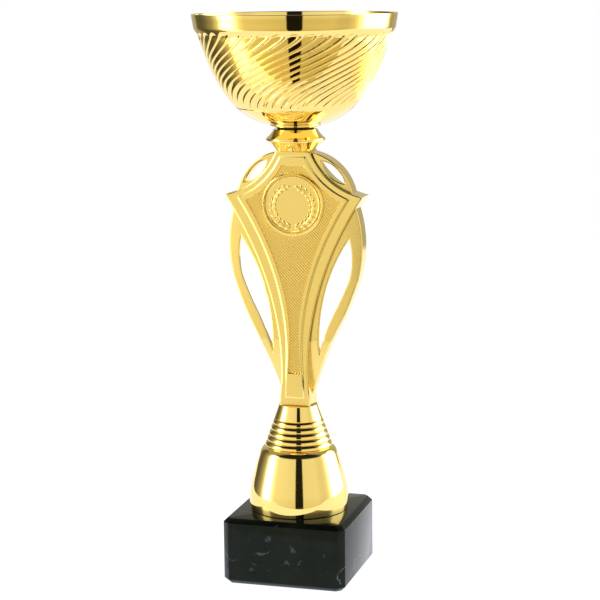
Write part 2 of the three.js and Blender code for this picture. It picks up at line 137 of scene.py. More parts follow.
# What stands round the trophy, by angle from the camera, positive to the camera's right: a black flag
# with the camera in it, grey walls, a softbox on each side and a darker room behind.
ROOM = [
    (-180, 0.46), (-150, 0.36), (-142, 0.1), (-128, 0.1), (-119, 0.17), (-107, 0.34), (-97, 0.85),
    (-90, SOFTBOX), (-76, SOFTBOX), (-68, 1.2), (-60, 0.82), (-40, 0.78), (-9.6, 0.7), (-9.1, 0.012),
    (8.5, 0.012), (9.0, 0.7), (44, 0.74), (54, 0.66), (64, 0.66), (72, 0.8), (78, 1.2),
    (88, SOFTBOX), (124, SOFTBOX), (132, 1), (138, 0.34), (180, 0.46),
]
CEILING = [(-180, 0.3), (-95, 0.3), (-72, 0.015), (72, 0.015), (95, 0.3), (180, 0.3)]

# Colour of the walls from low to high, by the sine of the height angle: warm and dim near the floor.
WALL_TINTS = [
    (-0.8, (0.87, 0.76, 0.36)), (-0.35, (0.97, 0.88, 0.54)), (-0.15, (1.14, 1.1, 0.86)),
    (0.1, (1.24, 1.22, 1.04)),
]
TINT_SCALE = 1.25                    # the tints are divided by this, so that none is over 1
CEILING_RISE = (0.46, 0.64)          # the walls give way to the ceiling between these sines


def studio_room():
    """Grey walls, a black flag and two softboxes, seen only as reflections; plain white to the camera."""
    world = bpy.data.worlds.new("light_tent")
    bpy.context.scene.world = world
    world.use_nodes = True
    tree = world.node_tree
    tree.nodes.clear()
    direction = add_node(tree, "ShaderNodeTexCoord").outputs["Generated"]
    front, side, up = [
        add_node(
            tree, "ShaderNodeVectorMath", {0: direction, 1: axis}, operation="DOT_PRODUCT"
        ).outputs["Value"]
        for axis in (TO_CAMERA, CAMERA_RIGHT, (0, 0, 1))
    ]
    angle = add_node(tree, "ShaderNodeMath", {0: side, 1: front}, operation="ARCTAN2").outputs[0]
    share = add_node(tree, "ShaderNodeMath", {0: angle, 1: 1 / FULL_TURN, 2: 0.5}, operation="MULTIPLY_ADD")
    walls, ceiling = [
        add_node(tree, "ShaderNodeValToRGB", {0: share.outputs[0]}, [
            ((degrees + 180) / 360, [value / BRIGHTEST] * 3 + [1]) for degrees, value in bands
        ])
        for bands in (ROOM, CEILING)
    ]
    level = add_node(tree, "ShaderNodeMath", {0: up, 1: 0.5, 2: 0.5}, operation="MULTIPLY_ADD")
    tint = add_node(tree, "ShaderNodeValToRGB", {0: level.outputs[0]}, [
        (sine / 2 + 0.5, [part / TINT_SCALE for part in color] + [1]) for sine, color in WALL_TINTS
    ])
    lit_walls = add_node(
        tree, "ShaderNodeVectorMath", {0: walls.outputs[0], 1: tint.outputs[0]}, operation="MULTIPLY"
    )
    rise = add_node(
        tree, "ShaderNodeMapRange", {0: up, 1: CEILING_RISE[0], 2: CEILING_RISE[1]},
        interpolation_type="SMOOTHSTEP",
    )
    room = add_node(tree, "ShaderNodeMix", {
        0: rise.outputs[0], 6: lit_walls.outputs[0], 7: ceiling.outputs[0],
    }, data_type="RGBA")
    seen = add_node(tree, "ShaderNodeBackground", {0: (1, 1, 1, 1), 1: 1.0})
    reflected = add_node(tree, "ShaderNodeBackground", {0: room.outputs[2], 1: BRIGHTEST * TINT_SCALE})
    path = add_node(tree, "ShaderNodeLightPath").outputs["Is Camera Ray"]
    mix = add_node(tree, "ShaderNodeMixShader", {0: path, 1: reflected.outputs[0], 2: seen.outputs[0]})
    add_node(tree, "ShaderNodeOutputWorld", {0: mix.outputs[0]})


def table():
    """White table top, lit from below so that shadows on it stay faint."""
    bm = bmesh.new()
    bmesh.ops.create_grid(bm, x_segments=1, y_segments=1, size=1)
    depth = TABLE_FRONT + TABLE_BACK
    width = TABLE_LEFT + TABLE_RIGHT
    bmesh.ops.scale(bm, vec=(width / 2, depth / 2, 1), verts=bm.verts)
    middle = (width / 2 - TABLE_LEFT, depth / 2 - TABLE_FRONT, -0.02 * MM)
    bmesh.ops.translate(bm, vec=middle, verts=bm.verts)
    bmesh.ops.rotate(bm, matrix=Matrix.Rotation(VIEW_YAW, 3, "Z"), verts=bm.verts)
    mesh = bpy.data.meshes.new("table_top")
    bm.to_mesh(mesh)
    bm.free()
    top = bpy.data.objects.new("table_top", mesh)
    bpy.context.scene.collection.objects.link(top)
    material, tree = new_material("white_acrylic_sheet")
    surface(tree, {
        "Base Color": linear("#7C7C7C"), "Roughness": 0.7, "Specular IOR Level": 0.1,
        "Emission Color": TABLE_COLOR, "Emission Strength": 0.96,
    })
    mesh.materials.append(material)


studio_room()
table()

# ---------------------------------------------------------------- materials

GOLD = "#FFE18A"            # the plate's own colour where it mirrors white


def gold(name, roughness, grain_mm, grain_depth_mm, uneven, color=GOLD):
    """Gold plate. Fine waviness bends its reflections a little; roughness varies slightly over it."""
    material, tree = new_material(name)
    place = add_node(tree, "ShaderNodeTexCoord").outputs["Object"]
    grain = noise(tree, place, grain_mm, 3)
    bump = add_node(tree, "ShaderNodeBump", {
        "Height": grain.outputs["Fac"], "Strength": 1, "Distance": grain_depth_mm * MM,
    })
    patches = noise(tree, place, 14, 5)
    rough = add_node(tree, "ShaderNodeMapRange", {
        0: patches.outputs["Fac"], 1: 0.3, 2: 0.7, 3: roughness - uneven, 4: roughness + uneven,
    })
    surface(tree, {
        "Base Color": linear(color), "Metallic": 1, "Roughness": rough.outputs[0], "Normal": bump.outputs[0],
    })
    return material


def polished_marble():
    """Black marble, polished: near-black green ground, broken grey veins and small pale flecks."""
    material, tree = new_material("polished_black_marble")
    place = add_node(tree, "ShaderNodeTexCoord").outputs["Object"]
    bend = noise(tree, place, 16, 6)
    bent = add_node(tree, "ShaderNodeVectorMath", {
        0: bend.outputs["Color"], 1: (0.022, 0.022, 0.022), 2: place,
    }, operation="MULTIPLY_ADD")
    cells = add_node(tree, "ShaderNodeTexVoronoi", {
        "Vector": bent.outputs[0], "Scale": 1 / (24 * MM), "Randomness": 1,
    }, feature="DISTANCE_TO_EDGE")
    vein = add_node(tree, "ShaderNodeMapRange", {
        0: cells.outputs["Distance"], 1: 0.022, 2: 0.0, 3: 0, 4: 0.8,
    })
    breaks = noise(tree, place, 6, 4)
    broken = add_node(tree, "ShaderNodeMapRange", {0: breaks.outputs["Fac"], 1: 0.53, 2: 0.70})
    veins = add_node(tree, "ShaderNodeMath", {0: vein.outputs[0], 1: broken.outputs[0]}, operation="MULTIPLY")
    specks = noise(tree, bent.outputs[0], 1.1, 3)
    flecks = add_node(tree, "ShaderNodeMapRange", {0: specks.outputs["Fac"], 1: 0.70, 2: 0.80, 3: 0, 4: 0.6})
    pale = add_node(tree, "ShaderNodeMath", {0: veins.outputs[0], 1: flecks.outputs[0]}, operation="MAXIMUM")
    clouds = noise(tree, place, 9, 8)
    ground = add_node(tree, "ShaderNodeValToRGB", {0: clouds.outputs["Fac"]}, [
        (0.3, linear("#090B09")), (0.75, linear("#161916")),
    ])
    color = add_node(tree, "ShaderNodeMix", {
        0: pale.outputs[0], 6: ground.outputs[0], 7: linear("#6C756C"),
    }, data_type="RGBA")
    surface(tree, {
        "Base Color": color.outputs[2], "Roughness": 0.07, "IOR": 1.5, "Specular IOR Level": 0.2,
        "Specular Tint": linear("#D6EEDA"),
    })
    return material


def zinc_plate():
    """Bright zinc on steel: pale grey metal with a fine cloudy spangle."""
    material, tree = new_material("bright_zinc_plate")
    place = add_node(tree, "ShaderNodeTexCoord").outputs["Object"]
    cloud = noise(tree, place, 1.5, 4)
    color = add_node(tree, "ShaderNodeValToRGB", {0: cloud.outputs["Fac"]}, [
        (0.35, linear("#A9ACB0")), (0.7, linear("#D2D5D8")),
    ])
    rough = add_node(tree, "ShaderNodeMapRange", {0: cloud.outputs["Fac"], 3: 0.2, 4: 0.4})
    surface(tree, {
        "Base Color": color.outputs[0], "Metallic": 1, "Roughness": rough.outputs[0],
    })
    return material


def matt(name, dark, light, grain_mm, roughness):
    """Matt sheet stock with a fine grain, between two shades."""
    material, tree = new_material(name)
    place = add_node(tree, "ShaderNodeTexCoord").outputs["Object"]
    grain = noise(tree, place, grain_mm, 4)
    color = add_node(tree, "ShaderNodeValToRGB", {0: grain.outputs["Fac"]}, [
        (0.3, linear(dark)), (0.7, linear(light)),
    ])
    bump = add_node(tree, "ShaderNodeBump", {"Height": grain.outputs["Fac"], "Distance": 0.05 * MM})
    surface(tree, {
        "Base Color": color.outputs[0], "Roughness": roughness, "Normal": bump.outputs[0],
    })
    return material


MIRROR_GOLD = gold("mirror_gold_plating", 0.06, 3.0, 0.004, 0.02)     # clear reflections with sharp edges
BOWL_GOLD = gold("spun_sheet_gold_plate", 0.05, 5.0, 0.004, 0.02)     # the clearest, as on polished sheet
SATIN_GOLD = gold("satin_gold_plating", 0.27, 0.5, 0.008, 0.04)       # an even, silky sheen
EDGE_GOLD = gold("polished_edge_gold", 0.14, 3.0, 0.004, 0.03)        # brighter lines round the satin faces
# Painted shade: a dark brown gold that stands in for the shade in the deep corners in front of the upper
# loops.
PAINTED_SHADE_GOLD = gold("painted_recess_shade_gold", 0.3, 2.0, 0.006, 0.05, "#4A3610")     # brown shade in deep corners
MARBLE = polished_marble()
ZINC = zinc_plate()
# Painted shade: the washer between collar and knuckle is black so that it draws the shadow line of the groove
# there.
BLACK_SHADE_SHEET = matt("black_painted_shade_sheet", "#100F0D", "#26231F", 0.4, 0.85)
WHITE_FOAM = matt("white_foam_tape", "#DAD8D0", "#EFEDE6", 0.3, 0.9)

# ---------------------------------------------------------------- shape helpers

MERGE = 0.002 * MM                # points closer than this become one


def arc(centre, radius, start, end, steps):
    """Points on an arc about a centre, from one point's direction to another's, the short way round."""
    begin = math.atan2(start[1] - centre[1], start[0] - centre[0])
    sweep = math.atan2(end[1] - centre[1], end[0] - centre[0]) - begin
    sweep = math.atan2(math.sin(sweep), math.cos(sweep))
    angles = [begin + sweep * i / steps for i in range(steps + 1)]
    return [(centre[0] + radius * math.cos(a), centre[1] + radius * math.sin(a)) for a in angles]


def bow(start, control, end, steps):
    """Quadratic curve from start to end."""
    points = []
    for i in range(steps + 1):
        t = i / steps
        weights = ((1 - t) ** 2, 2 * t * (1 - t), t * t)
        points.append(tuple(sum(w * p[k] for w, p in zip(weights, (start, control, end))) for k in (0, 1)))
    return points


def through(points, steps):
    """Smooth curve through points, with this many steps between each two."""
    padded = [points[0]] + list(points) + [points[-1]]
    curve = []
    for a, b, c, d in zip(padded, padded[1:], padded[2:], padded[3:]):
        for i in range(steps):
            t = i / steps
            curve.append(tuple(
                0.5 * (2 * b[k] + (c[k] - a[k]) * t + (2 * a[k] - 5 * b[k] + 4 * c[k] - d[k]) * t * t
                       + (3 * b[k] - a[k] - 3 * c[k] + d[k]) * t ** 3)
                for k in (0, 1)
            ))
    return curve + [tuple(points[-1])]


def rising(foot, points):
    """Turns (radius, height) points from mm into metres, with heights counted from a foot."""
    return [(radius * MM, foot + height * MM) for radius, height in points]


def circle_places(radius, height, steps):
    return [
        (radius * math.cos(FULL_TURN * i / steps), radius * math.sin(FULL_TURN * i / steps), height)
        for i in range(steps)
    ]


def mirrored(edge):
    """Closes a right-hand edge, listed from top to bottom, with its mirror image."""
    return list(edge) + [(-x, z) for x, z in reversed(edge)]


def inset(outline, distance, tightest=0.35):
    """Moves a closed clockwise outline inwards; sharp corners move by a limited share of their mitre."""
    moved = []
    for before, here, after in zip([outline[-1]] + outline[:-1], outline, outline[1:] + [outline[0]]):
        into = (Vector(here) - Vector(before)).normalized()
        out = (Vector(after) - Vector(here)).normalized()
        normal = Vector((into.y + out.y, -into.x - out.x)).normalized()
        spread = max(tightest, normal.dot(Vector((into.y, -into.x))))
        moved.append(tuple(Vector(here) + normal * distance / spread))
    return moved


def start_ring(bm, places):
    """A closed ring of vertices and edges."""
    ring = [bm.verts.new(place) for place in places]
    for a, b in zip(ring, ring[1:] + ring[:1]):
        bm.edges.new((a, b))
    return ring


def ring_edges(bm, ring):
    return [bm.edges.get(pair) for pair in zip(ring, ring[1:] + ring[:1])]


def grow(bm, ring, places):
    """Extrudes a ring of vertices to new places, one for one, and returns the new ring."""
    made = bmesh.ops.extrude_edge_only(bm, edges=ring_edges(bm, ring))["geom"]
    fresh = {item for item in made if isinstance(item, bmesh.types.BMVert)}
    follow = []
    for vert, place in zip(ring, places):
        new = next(e.other_vert(vert) for e in vert.link_edges if e.other_vert(vert) in fresh)
        new.co = place
        follow.append(new)
    return follow


def spun(outline, steps):
    """Full turn about Z of (radius, height) points; an outline that closes on itself gives a solid."""
    bm = bmesh.new()
    verts = [bm.verts.new((radius, 0, height)) for radius, height in outline]
    for a, b in zip(verts, verts[1:]):
        bm.edges.new((a, b))
    bmesh.ops.spin(
        bm, geom=bm.verts[:] + bm.edges[:], cent=(0, 0, 0), axis=(0, 0, 1), angle=FULL_TURN,
        steps=steps, use_merge=True,
    )
    bmesh.ops.remove_doubles(bm, verts=bm.verts, dist=MERGE)
    bmesh.ops.recalc_face_normals(bm, faces=bm.faces)
    return bm


def piece(name, bm, materials, nodes=(), smooth_below=30):
    """Makes the mesh an object that rides on the root body and stands for its CAD nodes.

    Edges that turn by less than smooth_below degrees are shaded smooth.
    """
    limit = math.radians(smooth_below)
    for face in bm.faces:
        face.smooth = True
    for edge in bm.edges:
        edge.smooth = edge.calc_face_angle(0) < limit
    mesh = bpy.data.meshes.new(name)
    bm.to_mesh(mesh)
    bm.free()
    made = bpy.data.objects.new(name, mesh)
    bpy.context.scene.collection.objects.link(made)
    for material in materials:
        mesh.materials.append(material)
    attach(made, "root")
    if nodes:
        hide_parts(*nodes)
    return made


def joined(*parts):
    """One mesh from several, each freed once copied."""
    whole = bmesh.new()
    for part in parts:
        mesh = bpy.data.meshes.new("part")
        part.to_mesh(mesh)
        part.free()
        whole.from_mesh(mesh)
        bpy.data.meshes.remove(mesh)
    return whole


def levels(node):
    """Foot and top of a CAD node."""
    low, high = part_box(node)
    return low.z, high.z


def half_width(node):
    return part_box(node)[1].x


# ---------------------------------------------------------------- bowl

FLUTES = 40
FLUTE_STEPS = 18                 # columns of the mesh in each flute
FLUTE_FOOT = 8.0 * MM            # heights above the bowl's foot
FLUTE_TOP = 39.6 * MM
FLUTE_END = 1.5 * MM             # radius of a flute's rounded end
FLUTE_SPREAD = 0.4               # share of its height over which a flute opens out from its foot
FLUTE_HALF = (0.12, 0.32)        # half width at the foot and opened out, in flute pitches
FLUTE_DEPTH = (0.5 * MM, 0.6 * MM)
FLUTE_DISH = (0.25 * MM, 0.0)    # how far its floor curves up towards its sides
FLUTE_ROWS = 44                  # rows of the mesh between a flute's foot and top
TWIST = math.radians(84)         # how far a flute winds round from foot to top
TWIST_EVEN = 0.4                 # share of the twist that is even; the rest is slower at both ends
BOWL_WALL = 0.8 * MM
BOWL_BAND = 6.3 * MM             # plain band under the rim


def smooth_step(t):
    t = min(max(t, 0), 1)
    return t * t * (3 - 2 * t)


def bowl_outline(foot, rim):
    """Outer surface from the bore up to the rim."""
    band = rim - BOWL_BAND
    edge = half_width("bowl")
    sides = rising(foot, [
        (11.4, 0), (14.4, 0.4), (18.2, 1.9), (22.4, 4.5), (25.4, 6.7), (26.0, 7.5), (29.3, 11.4),
        (34.0, 18.4), (38.0, 27.0), (41.2, 35.7), (42.0, 38.3), (43.0, 40.0),
    ])
    shoulder = rising(band, [(43.75, -0.35), (43.95, 0), (44.05, 0.5)])
    top = rising(rim, [(44.4, -3.5), (44.75, -1.5)]) + [(edge - 0.15 * MM, rim - 0.1 * MM)]
    return [(BORE, foot)] + through(sides, 4) + shoulder + through(top, 3)


def flute_depth(turn_share, height):
    """How far a point is pressed in: dished flutes with rounded ends, narrow at the foot, and round ribs."""
    opened = min(max((height - FLUTE_FOOT) / (FLUTE_TOP - FLUTE_FOOT) / FLUTE_SPREAD, 0), 1)
    half, depth, dish = [
        narrow + (wide - narrow) * opened for narrow, wide in (FLUTE_HALF, FLUTE_DEPTH, FLUTE_DISH)
    ]
    across = abs((turn_share * FLUTES) % 1 - 0.5)
    beyond = max(FLUTE_FOOT + FLUTE_END - height, height - FLUTE_TOP + FLUTE_END, 0)
    reach = math.hypot(across / half, beyond / FLUTE_END)
    rib = 0.5 / half
    rise = min(max((reach - 1) / (rib - 1), 0), 1)
    return (depth - dish * min(reach, 1) ** 2) * (1 - math.sqrt(1 - (1 - rise) ** 2))


def bowl():
    foot, rim = levels("bowl")
    outline = bowl_outline(foot, rim)
    rows = []
    for (r0, z0), (r1, z1) in zip(outline, outline[1:]):
        cuts = max(1, round((z1 - z0) / (FLUTE_TOP - FLUTE_FOOT) * FLUTE_ROWS))
        rows += [(r0 + (r1 - r0) * i / cuts, z0 + (z1 - z0) * i / cuts) for i in range(cuts)]
    rows.append(outline[-1])
    bm = spun(rows, FLUTES * FLUTE_STEPS)
    for vert in bm.verts:
        x, y, z = vert.co
        share = math.atan2(y, x) / FULL_TURN
        height = z - foot
        t = min(max((height - FLUTE_FOOT) / (FLUTE_TOP - FLUTE_FOOT), 0), 1)
        turn = TWIST * (TWIST_EVEN * t + (1 - TWIST_EVEN) * smooth_step(t))
        pressed = 0
        if FLUTE_FOOT - FLUTE_END < height < FLUTE_TOP + FLUTE_END:
            pressed = flute_depth(share, height)
        radius = math.hypot(x, y) - pressed
        angle = FULL_TURN * share + turn
        vert.co = (radius * math.cos(angle), radius * math.sin(angle), z)
    bmesh.ops.recalc_face_normals(bm, faces=bm.faces)
    made = piece("bowl_sheet", bm, [BOWL_GOLD], ["bowl"], 42)
    wall = made.modifiers.new("sheet_thickness", "SOLIDIFY")
    wall.thickness = BOWL_WALL
    wall.offset = -1
    wall.use_even_offset = True


bowl()

# ---------------------------------------------------------------- spun and moulded pieces

SPIN_STEPS = 128
SMALL_SPIN_STEPS = 96            # for washers and the collar
ROD_STEPS = 48
CORE = 4.8 * MM                  # outer radius of the moulded cores round the rod
BELL_WALL = 1.6 * MM
CONE_WALL = 0.9 * MM


def shell_outline(outside, wall):
    """Closes an outside edge, foot to top, with the wall's inside and the core round the rod."""
    foot, top = outside[0][1], outside[-1][1]
    inside = [(radius - wall, min(z, top - wall)) for radius, z in reversed(outside)]
    core = [(BORE, top), (BORE, foot), (CORE, foot), (CORE, top - wall)]
    return outside + core + inside + [outside[0]]


def bell():
    """Upright at its foot, drawn in towards a rounded shoulder, with the core for the rod inside."""
    foot, top = levels("bell_riser")
    wide = half_width("bell_riser")
    upright = [
        (wide - 0.3 * MM, foot + 0.3 * MM), (wide - 0.03 * MM, foot + 3.2 * MM),
        (wide - 0.12 * MM, foot + 6.5 * MM),
    ]
    side = through(upright + rising(foot, [(21.9, 10.2), (20.5, 15.8), (19.1, 20.9), (17.5, 25.9)]), 8)
    shoulder = bow(side[-1], (16.6 * MM, top - 0.6 * MM), (14.6 * MM, top), 8)
    outside = [(wide - 0.45 * MM, foot)] + side + shoulder[1:]
    piece("bell_casting", spun(shell_outline(outside, BELL_WALL), SPIN_STEPS), [MIRROR_GOLD],
          ["bell_riser"], 40)


RINGS = 5
RING_PITCH = 2.5 * MM
RING_FOOT_RADIUS = 15.4 * MM
RING_TOP_RADIUS = 11.8 * MM
RING_DEPTH = 0.6 * MM
RING_STEPS = 10                  # rows of the mesh on each ring
RING_CREST = 0.4                 # height of a ring's crest, as a share of its pitch
RING_LEAN = 0.8                  # share of the cone's narrowing that a ring follows; the rest is a step


def ring_bulge(t):
    """Shape of one ring from foot to top: round below its crest, falling away more slowly above it."""
    if t < RING_CREST:
        return math.sqrt(1 - (1 - t / RING_CREST) ** 2)
    return 1 - ((t - RING_CREST) / (1 - RING_CREST)) ** 1.7


def cone():
    """Five rings, each a little narrower than the one below it, under a plain hollow neck."""
    foot, top = levels("ringed_cone")
    narrowing = (RING_TOP_RADIUS - RING_FOOT_RADIUS) / (RINGS - 1)
    outside = []
    for i in range(RINGS):
        groove = RING_FOOT_RADIUS + narrowing * i - RING_DEPTH
        for k in range(RING_STEPS + 1):
            t = k / RING_STEPS
            radius = groove + RING_LEAN * narrowing * t + RING_DEPTH * ring_bulge(t)
            outside.append((radius, foot + (i + t) * RING_PITCH))
    neck_foot = (10.9 * MM, foot + RINGS * RING_PITCH + 0.05 * MM)
    outside += bow(neck_foot, (9.8 * MM, top - 3.2 * MM), (8.7 * MM, top), 8)
    piece("cone_casting", spun(shell_outline(outside, CONE_WALL), SPIN_STEPS), [MIRROR_GOLD],
          ["ringed_cone"], 60)


def knuckle():
    """Two hollow-sided cones that meet in a narrow band."""
    foot, top = levels("knuckle")
    wide = half_width("knuckle")
    band = foot + 4.4 * MM
    lower = bow((8.3 * MM, foot), (10.6 * MM, foot + 2.6 * MM), (wide - 0.5 * MM, band - 0.45 * MM), 10)
    edge = [(wide - 0.15 * MM, band - 0.1 * MM), (wide, band + 0.3 * MM), (wide - 0.08 * MM, band + 0.8 * MM)]
    upper = bow((wide - 0.5 * MM, band + 1.15 * MM), (10.9 * MM, band + 2.4 * MM), (9.6 * MM, top), 10)
    bore = [(BORE, top), (BORE, foot), (8.3 * MM, foot)]
    piece("knuckle_casting", spun(lower + edge + upper + bore, SPIN_STEPS), [MIRROR_GOLD],
          ["knuckle"], 40)


def flat_ring(outer, inner, foot, top, soft):
    """Outline of a ring with softened outer corners."""
    return [
        (inner, foot), (outer - soft, foot), (outer, foot + soft), (outer, top - soft), (outer - soft, top),
        (inner, top), (inner, foot),
    ]


def collar_and_washers():
    foot, top = levels("bowl_collar")
    wide = half_width("bowl_collar")
    flare = bow((8.3 * MM, foot), (10.9 * MM, foot + 0.2 * MM), (wide, top - 0.45 * MM), 8)
    outline = flare + [(wide, top - 0.1 * MM), (wide - 0.1 * MM, top), (BORE, top), (BORE, foot), flare[0]]
    piece("collar_casting", spun(outline, SMALL_SPIN_STEPS), [MIRROR_GOLD], ["bowl_collar"])
    # The fibre washer's black is painted shade: it draws the dark line of the groove between collar and
    # knuckle.
    for node, name, material, slot, soft in (
        ("fibre_washer", "shade_line_ring", BLACK_SHADE_SHEET, "black_fibre", 0.08),
        ("bowl_washer", "bowl_washer_disc", ZINC, "zinc_steel", 0.15),
        ("base_washer", "base_washer_disc", ZINC, "zinc_steel", 0.15),
    ):
        outline = flat_ring(half_width(node), BORE, *levels(node), soft * MM)
        piece(name, spun(outline, SMALL_SPIN_STEPS), [material], [node])


NUT_CHAMFER = 0.5 * MM
NUT_STEPS = 48
THREAD_PITCH = 0.8 * MM
THREAD_DEPTH = 0.4 * MM
THREAD_STEPS = 24                # steps of the mesh in one turn
THREADED_LENGTH = 12 * MM        # at each end of the rod
ROD_CHAMFER = 0.4 * MM


def hex_nut(node, name):
    """Hexagon nut whose corners are turned down at both ends."""
    foot, top = levels(node)
    corner = half_width(node)
    rings = []
    for height, cut in (
        (foot, NUT_CHAMFER), (foot + NUT_CHAMFER / 2, 0), (top - NUT_CHAMFER / 2, 0), (top, NUT_CHAMFER),
    ):
        places = []
        for step in range(NUT_STEPS):
            angle = FULL_TURN * step / NUT_STEPS
            flat = corner * math.cos(math.pi / 6) / math.cos((angle % (math.pi / 3)) - math.pi / 6)
            radius = min(flat, corner - cut)
            places.append((radius * math.cos(angle), radius * math.sin(angle), height))
        rings.append(places)
    rings += [circle_places(BORE, top, NUT_STEPS), circle_places(BORE, foot, NUT_STEPS), rings[0]]
    bm = bmesh.new()
    ring = start_ring(bm, rings[0])
    for places in rings[1:]:
        ring = grow(bm, ring, places)
    bmesh.ops.remove_doubles(bm, verts=bm.verts, dist=MERGE)
    bmesh.ops.recalc_face_normals(bm, faces=bm.faces)
    piece(name, bm, [ZINC], [node], 25)


def thread(foot, turns, radius):
    """A helical ridge round the rod."""
    bm = bmesh.new()
    half = THREAD_PITCH / 2
    root = radius - THREAD_DEPTH
    profile = [(root, foot), (radius, foot + half), (root, foot + THREAD_PITCH)]
    verts = [bm.verts.new((r, 0, z)) for r, z in profile]
    for a, b in zip(verts, verts[1:]):
        bm.edges.new((a, b))
    bmesh.ops.spin(
        bm, geom=bm.verts[:] + bm.edges[:], cent=(0, 0, 0), axis=(0, 0, 1), angle=FULL_TURN * turns,
        steps=THREAD_STEPS * turns, dvec=(0, 0, THREAD_PITCH / THREAD_STEPS),
    )
    bmesh.ops.remove_doubles(bm, verts=bm.verts, dist=MERGE)
    bmesh.ops.recalc_face_normals(bm, faces=bm.faces)
    return bm


def tie_rod():
    """Rod with a plain middle and a thread of real ridges at both ends."""
    foot, top = levels("tie_rod")
    radius = half_width("tie_rod")
    turns = int(THREADED_LENGTH / THREAD_PITCH)
    ends = [foot + ROD_CHAMFER, top - ROD_CHAMFER - (turns + 1) * THREAD_PITCH]
    core = radius - THREAD_DEPTH + 0.02 * MM
    outline = [
        (0, foot), (core - ROD_CHAMFER, foot), (core, foot + ROD_CHAMFER),
        (core, ends[0] + turns * THREAD_PITCH), (radius, ends[0] + (turns + 1) * THREAD_PITCH),
        (radius, ends[1]), (core, ends[1] + THREAD_PITCH), (core, top - ROD_CHAMFER),
        (core - ROD_CHAMFER, top), (0, top),
    ]
    rod = joined(spun(outline, ROD_STEPS), *[thread(end, turns, radius) for end in ends])
    piece("threaded_rod", rod, [ZINC], ["tie_rod"], 40)


bell()
cone()
knuckle()
collar_and_washers()
hex_nut("bowl_nut", "bowl_nut_hexagon")
hex_nut("base_nut", "base_nut_hexagon")
tie_rod()

# ---------------------------------------------------------------- marble block

BLOCK_CORNER = 3.1 * MM          # width cut off the upright edges
BLOCK_CHAMFER = 2.0 * MM         # width cut off the level edges
BLOCK_SOFT = 0.12 * MM           # rounding of every edge that is left
COUNTERBORE = 11 * MM            # radius, and depth too
BLOCK_BORE_STEPS = 64


def cut_edges(bm, edges, offset, segments=1):
    bmesh.ops.bevel(
        bm, geom=edges, offset=offset, offset_type="OFFSET", segments=segments, profile=0.5,
        affect="EDGES", material=-1,
    )


def marble_block():
    """Chamfered block, drilled for the rod and counterbored from below for its nut and washers."""
    low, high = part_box("marble_base")
    bm = bmesh.new()
    bmesh.ops.create_cube(bm, size=1)
    bmesh.ops.scale(bm, vec=high - low, verts=bm.verts)
    bmesh.ops.translate(bm, vec=(low + high) / 2, verts=bm.verts)
    upright = [e for e in bm.edges if abs(e.verts[0].co.z - e.verts[1].co.z) > BLOCK_CHAMFER]
    cut_edges(bm, upright, BLOCK_CORNER)
    level = [e for e in bm.edges if abs(e.verts[0].co.z - e.verts[1].co.z) < BLOCK_SOFT]
    cut_edges(bm, level, BLOCK_CHAMFER)
    cut_edges(bm, bm.edges[:], BLOCK_SOFT, 2)
    ends = [f for f in bm.faces if abs(f.normal.z) > 0.99 and f.calc_area() > (high.x - low.x) ** 2 / 2]
    rims = [list(face.edges) for face in ends]
    bmesh.ops.delete(bm, geom=ends, context="FACES_ONLY")
    step = low.z + COUNTERBORE
    bore_top, mouth, ceiling, bore_foot = [
        circle_places(radius, height, BLOCK_BORE_STEPS)
        for radius, height in ((BORE, high.z), (COUNTERBORE, low.z), (COUNTERBORE, step), (BORE, step))
    ]
    top_ring = start_ring(bm, bore_top)
    ring = start_ring(bm, mouth)
    lowest = min(rims, key=lambda edges: edges[0].verts[0].co.z)
    highest = max(rims, key=lambda edges: edges[0].verts[0].co.z)
    bmesh.ops.triangle_fill(bm, edges=lowest + ring_edges(bm, ring), use_beauty=True)
    bmesh.ops.triangle_fill(bm, edges=highest + ring_edges(bm, top_ring), use_beauty=True)
    for places in (ceiling, bore_foot, bore_top):
        ring = grow(bm, ring, places)
    bmesh.ops.remove_doubles(bm, verts=bm.verts, dist=MERGE)
    bmesh.ops.recalc_face_normals(bm, faces=bm.faces)
    piece("marble_block", bm, [MARBLE], ["marble_base"], 20)


marble_block()

# ---------------------------------------------------------------- star figure

FIGURE_LOW, FIGURE_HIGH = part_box("figure_shell")
FOOT, TOP = FIGURE_LOW.z, FIGURE_HIGH.z
FRONT, BACK = FIGURE_LOW.y, FIGURE_HIGH.y
PLATE = 2.4 * MM                  # thickness of the star's front wall
LOOP_PLATE = 1.8 * MM             # of the loops' front wall
SKIRT = 1.7 * MM                  # and of the walls behind both
EDGE = 0.55 * MM                  # width of the sloped edges of the moulding
EDGE_DROP = 0.3 * MM              # and how far they fall
BORDER_FRONT = FRONT + 0.8 * MM
FRAME_FRONT = FRONT + 0.35 * MM
FRAME_SLOPE = 0.9 * MM
FIELD_FLOOR = FRONT + 1.3 * MM
FIELD_SLOPE = 0.6 * MM
LOOP_FRONT = FRONT + 2.6 * MM
LOOP_BACK = LOOP_FRONT + 8.5 * MM
LOOP_END = FOOT + 4.8 * MM
SKIRT_REAR = LOOP_BACK - 0.1 * MM               # points behind this are on the loops' rear edge
SWEEP_CENTRE = (37.7 * MM, TOP + 12.2 * MM)     # of the hollow curves between the top and the side tips
HIDDEN_SWEEP = 33.5 * MM                        # radius on which the upper loops end, inside the star


def on_sweep(radius, x):
    across = SWEEP_CENTRE[0] - x
    return (x, SWEEP_CENTRE[1] - math.sqrt(radius ** 2 - across ** 2))


def sweep_at(radius, z):
    down = SWEEP_CENTRE[1] - z
    return (SWEEP_CENTRE[0] - math.sqrt(radius ** 2 - down ** 2), z)


